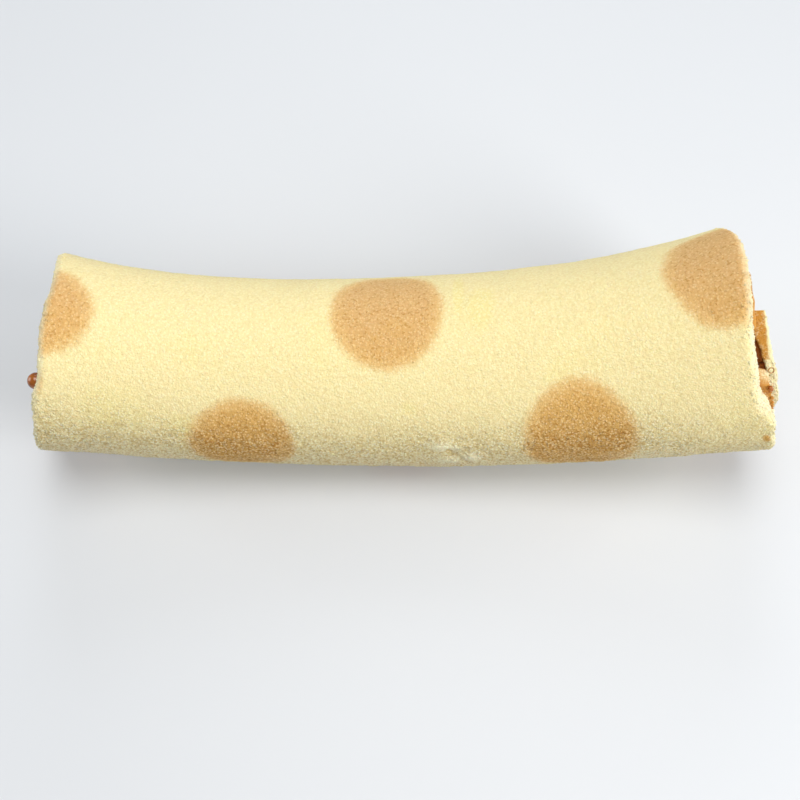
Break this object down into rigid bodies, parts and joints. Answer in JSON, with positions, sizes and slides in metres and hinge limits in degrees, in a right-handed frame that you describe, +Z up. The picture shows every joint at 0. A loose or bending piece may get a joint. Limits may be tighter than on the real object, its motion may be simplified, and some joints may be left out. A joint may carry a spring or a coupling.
{
  "type": "swiss roll cake",
  "caption": "Whole uncut swiss roll: pale sponge with round tan spots baked in, rolled round a thin layer of amber jam, sagging in its middle.",
  "frame": {"origin": "on the surface that the roll rests on, under the middle of its box", "axes": "+X along the roll to its thicker end, +Y to its back, where the seam lies low, +Z up"},
  "size_m": [0.2152, 0.0626, 0.0662],
  "materials": {
    "sponge": "soft pale yellow sponge with a fine open crumb and round tan spots baked in",
    "filling": "wet amber-brown jam, glossy and slightly translucent"
  },
  "bodies": {
    "root": {"sponge": "sponge", "filling": "filling"}
  },
  "joints": []
}
